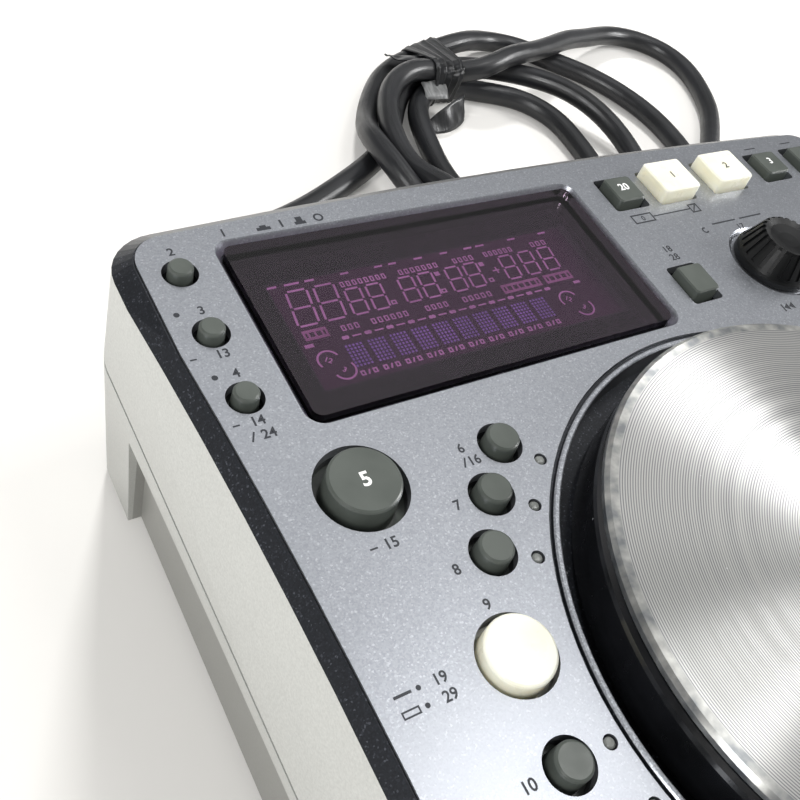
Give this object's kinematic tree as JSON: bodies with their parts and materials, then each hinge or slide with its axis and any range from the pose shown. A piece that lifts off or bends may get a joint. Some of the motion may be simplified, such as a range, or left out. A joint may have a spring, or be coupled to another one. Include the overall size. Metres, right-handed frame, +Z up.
{
  "type": "tabletop disc player",
  "caption": "Tabletop DJ disc player with a spinning jog platter, display window, push buttons, pitch fader, select knob, front disc tray and a mains cord.",
  "frame": {"origin": "on the floor under the middle of the case, feet at z = 0", "axes": "+X to the right of someone who faces the front, +Y towards the sockets at the back, +Z up"},
  "size_m": [0.3191, 0.4175, 0.0842],
  "materials": {
    "case_plastic": "satin light silver",
    "cover_plastic": "charcoal metallic lacquer",
    "face_metal": "silver blue lacquer with fine flake",
    "lens_acrylic": "smoked polished acrylic",
    "tube_glass": "clear over a dark display",
    "board_epoxy": "solder mask",
    "switch_plastic": "moulded",
    "led_plastic": "clear diffusing",
    "bush_brass": "turned",
    "drive_steel": "plated sheet",
    "drive_plastic": "moulded",
    "tray_plastic": "satin black",
    "gear_plastic": "acetal",
    "transformer_iron": "varnished core",
    "platter_aluminium": "fine concentric turning",
    "platter_gloss": "gloss black",
    "steel_rod": "ground",
    "screw_steel": "black zinc",
    "key_olive": "satin grey-green",
    "key_cream": "satin cream",
    "knob_plastic": "satin black",
    "jack_plastic": "moulded black",
    "foot_rubber": "matt",
    "cord_rubber": "satin jacket"
  },
  "bodies": {
    "case": {"lower_case": "case_plastic", "upper_case": "case_plastic", "top_cover": "cover_plastic", "face_plate": "face_metal", "display_lens": "lens_acrylic", "display_module": "tube_glass", "control_board": "board_epoxy", "tact_switches": "switch_plastic", "led_lenses": "led_plastic", "platter_bearing": "bush_brass", "main_board": "board_epoxy", "power_supply": "transformer_iron", "rear_jacks": "jack_plastic", "strain_relief": "cord_rubber", "case_screws": "screw_steel", "rubber_feet": "foot_rubber", "drive_frame": "drive_plastic", "guide_rod": "steel_rod", "spindle_motor": "drive_steel", "clamp_bridge": "drive_steel", "pitch_fader": "drive_steel", "knob_encoder": "drive_steel", "power_cord": "cord_rubber", "cord_coil": "cord_rubber", "mains_plug": "cord_rubber"},
    "platter": {"platter_cover": "platter_aluminium", "platter_skirt": "platter_gloss", "platter_shaft": "steel_rod"},
    "tray": {"disc_tray": "tray_plastic", "tray_bezel": "case_plastic"},
    "select_knob_part": {"select_knob": "knob_plastic"},
    "pitch_knob_part": {"pitch_knob": "knob_plastic"},
    "tray_gear_part": {"tray_gear": "gear_plastic"},
    "turntable_hub_part": {"turntable_hub": "knob_plastic"},
    "clamp_puck_part": {"clamp_puck": "knob_plastic"},
    "pickup_sled_part": {"pickup_sled": "drive_plastic"},
    "feed_screw_part": {"feed_screw": "steel_rod"},
    "power_button_part": {"power_button": "knob_plastic"},
    "title_button_part": {"title_button": "key_olive"},
    "memo_button_part": {"memo_button": "key_olive"},
    "time_button_part": {"time_button": "key_olive"},
    "tap_button_part": {"tap_button": "key_olive"},
    "echo_button_part": {"echo_button": "key_olive"},
    "flanger_button_part": {"flanger_button": "key_olive"},
    "filter_button_part": {"filter_button": "key_olive"},
    "mode_button_part": {"mode_button": "key_cream"},
    "drag_button_part": {"drag_button": "key_olive"},
    "brake_button_part": {"brake_button": "key_olive"},
    "reverse_button_part": {"reverse_button": "key_olive"},
    "cue_button_part": {"cue_button": "key_cream"},
    "play_button_part": {"play_button": "key_cream"},
    "flip_button_part": {"flip_button": "key_olive"},
    "loop_in_button_part": {"loop_in_button": "key_cream"},
    "loop_out_button_part": {"loop_out_button": "key_cream"},
    "cue_b_button_part": {"cue_b_button": "key_olive"},
    "exit_button_part": {"exit_button": "key_olive"},
    "next_button_part": {"next_button": "key_olive"},
    "bend_down_button_part": {"bend_down_button": "key_olive"},
    "bend_up_button_part": {"bend_up_button": "key_olive"},
    "eject_button_part": {"eject_button": "key_olive"}
  },
  "joints": [
    {"name": "platter_spin", "type": "hinge", "parent": "case", "child": "platter", "pos_m": [0, 0.0075, 0.08], "axis": [0, 0, 1], "continuous": true},
    {"name": "select_turn", "type": "hinge", "parent": "case", "child": "select_knob_part", "pos_m": [0.049, 0.0868, 0.078], "axis": [0, 0, 1], "continuous": true},
    {"name": "pitch_slide", "type": "slide", "parent": "case", "child": "pitch_knob_part", "axis": [0, 1, 0], "range_m": [-0.03, 0.03]},
    {"name": "tray_slide", "type": "slide", "parent": "case", "child": "tray", "axis": [0, -1, 0], "range_m": [0, 0.126]},
    {"name": "tray_gear_turn", "type": "hinge", "parent": "case", "child": "tray_gear_part", "pos_m": [0.047, -0.1111, 0.016], "axis": [0, 0, 1], "continuous": true},
    {"name": "disc_spin", "type": "hinge", "parent": "case", "child": "turntable_hub_part", "pos_m": [0, -0.0661, 0.02], "axis": [0, 0, 1], "continuous": true},
    {"name": "clamp_spin", "type": "hinge", "parent": "case", "child": "clamp_puck_part", "pos_m": [0, -0.0661, 0.03], "axis": [0, 0, 1], "continuous": true},
    {"name": "pickup_slide", "type": "slide", "parent": "case", "child": "pickup_sled_part", "axis": [0, 1, 0], "range_m": [0, 0.036]},
    {"name": "feed_turn", "type": "hinge", "parent": "case", "child": "feed_screw_part", "pos_m": [0.018, -0.0361, 0.014], "axis": [0, 1, 0], "continuous": true},
    {"name": "power_press", "type": "slide", "parent": "case", "child": "power_button_part", "axis": [0, -1, 0], "range_m": [0, 0.003], "stiffness_N_per_m": 500, "springref_m": -0.001},
    {"name": "title_press", "type": "slide", "parent": "case", "child": "title_button_part", "axis": [0, 0, -1], "range_m": [0, 0.0008], "stiffness_N_per_m": 600, "springref_m": -0.0008},
    {"name": "memo_press", "type": "slide", "parent": "case", "child": "memo_button_part", "axis": [0, 0, -1], "range_m": [0, 0.0008], "stiffness_N_per_m": 600, "springref_m": -0.0008},
    {"name": "time_press", "type": "slide", "parent": "case", "child": "time_button_part", "axis": [0, 0, -1], "range_m": [0, 0.0008], "stiffness_N_per_m": 600, "springref_m": -0.0008},
    {"name": "tap_press", "type": "slide", "parent": "case", "child": "tap_button_part", "axis": [0, 0, -1], "range_m": [0, 0.0008], "stiffness_N_per_m": 600, "springref_m": -0.0008},
    {"name": "echo_press", "type": "slide", "parent": "case", "child": "echo_button_part", "axis": [0, 0, -1], "range_m": [0, 0.0008], "stiffness_N_per_m": 600, "springref_m": -0.0008},
    {"name": "flanger_press", "type": "slide", "parent": "case", "child": "flanger_button_part", "axis": [0, 0, -1], "range_m": [0, 0.0008], "stiffness_N_per_m": 600, "springref_m": -0.0008},
    {"name": "filter_press", "type": "slide", "parent": "case", "child": "filter_button_part", "axis": [0, 0, -1], "range_m": [0, 0.0008], "stiffness_N_per_m": 600, "springref_m": -0.0008},
    {"name": "mode_press", "type": "slide", "parent": "case", "child": "mode_button_part", "axis": [0, 0, -1], "range_m": [0, 0.0008], "stiffness_N_per_m": 600, "springref_m": -0.0008},
    {"name": "drag_press", "type": "slide", "parent": "case", "child": "drag_button_part", "axis": [0, 0, -1], "range_m": [0, 0.0008], "stiffness_N_per_m": 600, "springref_m": -0.0008},
    {"name": "brake_press", "type": "slide", "parent": "case", "child": "brake_button_part", "axis": [0, 0, -1], "range_m": [0, 0.0008], "stiffness_N_per_m": 600, "springref_m": -0.0008},
    {"name": "reverse_press", "type": "slide", "parent": "case", "child": "reverse_button_part", "axis": [0, 0, -1], "range_m": [0, 0.0008], "stiffness_N_per_m": 600, "springref_m": -0.0008},
    {"name": "cue_press", "type": "slide", "parent": "case", "child": "cue_button_part", "axis": [0, 0, -1], "range_m": [0, 0.0008], "stiffness_N_per_m": 900, "springref_m": -0.0008},
    {"name": "play_press", "type": "slide", "parent": "case", "child": "play_button_part", "axis": [0, 0, -1], "range_m": [0, 0.0008], "stiffness_N_per_m": 900, "springref_m": -0.0008},
    {"name": "flip_press", "type": "slide", "parent": "case", "child": "flip_button_part", "axis": [0, 0, -1], "range_m": [0, 0.0008], "stiffness_N_per_m": 600, "springref_m": -0.0008},
    {"name": "loop_in_press", "type": "slide", "parent": "case", "child": "loop_in_button_part", "axis": [0, 0, -1], "range_m": [0, 0.0008], "stiffness_N_per_m": 600, "springref_m": -0.0008},
    {"name": "loop_out_press", "type": "slide", "parent": "case", "child": "loop_out_button_part", "axis": [0, 0, -1], "range_m": [0, 0.0008], "stiffness_N_per_m": 600, "springref_m": -0.0008},
    {"name": "cue_b_press", "type": "slide", "parent": "case", "child": "cue_b_button_part", "axis": [0, 0, -1], "range_m": [0, 0.0008], "stiffness_N_per_m": 600, "springref_m": -0.0008},
    {"name": "exit_press", "type": "slide", "parent": "case", "child": "exit_button_part", "axis": [0, 0, -1], "range_m": [0, 0.0008], "stiffness_N_per_m": 600, "springref_m": -0.0008},
    {"name": "next_press", "type": "slide", "parent": "case", "child": "next_button_part", "axis": [0, 0, -1], "range_m": [0, 0.0008], "stiffness_N_per_m": 600, "springref_m": -0.0008},
    {"name": "bend_down_press", "type": "slide", "parent": "case", "child": "bend_down_button_part", "axis": [0, 0, -1], "range_m": [0, 0.0008], "stiffness_N_per_m": 600, "springref_m": -0.0008},
    {"name": "bend_up_press", "type": "slide", "parent": "case", "child": "bend_up_button_part", "axis": [0, 0, -1], "range_m": [0, 0.0008], "stiffness_N_per_m": 600, "springref_m": -0.0008},
    {"name": "eject_press", "type": "slide", "parent": "case", "child": "eject_button_part", "axis": [0, 0, -1], "range_m": [0, 0.0008], "stiffness_N_per_m": 600, "springref_m": -0.0008}
  ],
  "couplings": [
    {"joint": "tray_gear_turn", "follows": "tray_slide", "rad_per_m": -111.11},
    {"joint": "clamp_spin", "follows": "disc_spin", "ratio": 1},
    {"joint": "feed_turn", "follows": "pickup_slide", "rad_per_m": 2094.4}
  ]
}
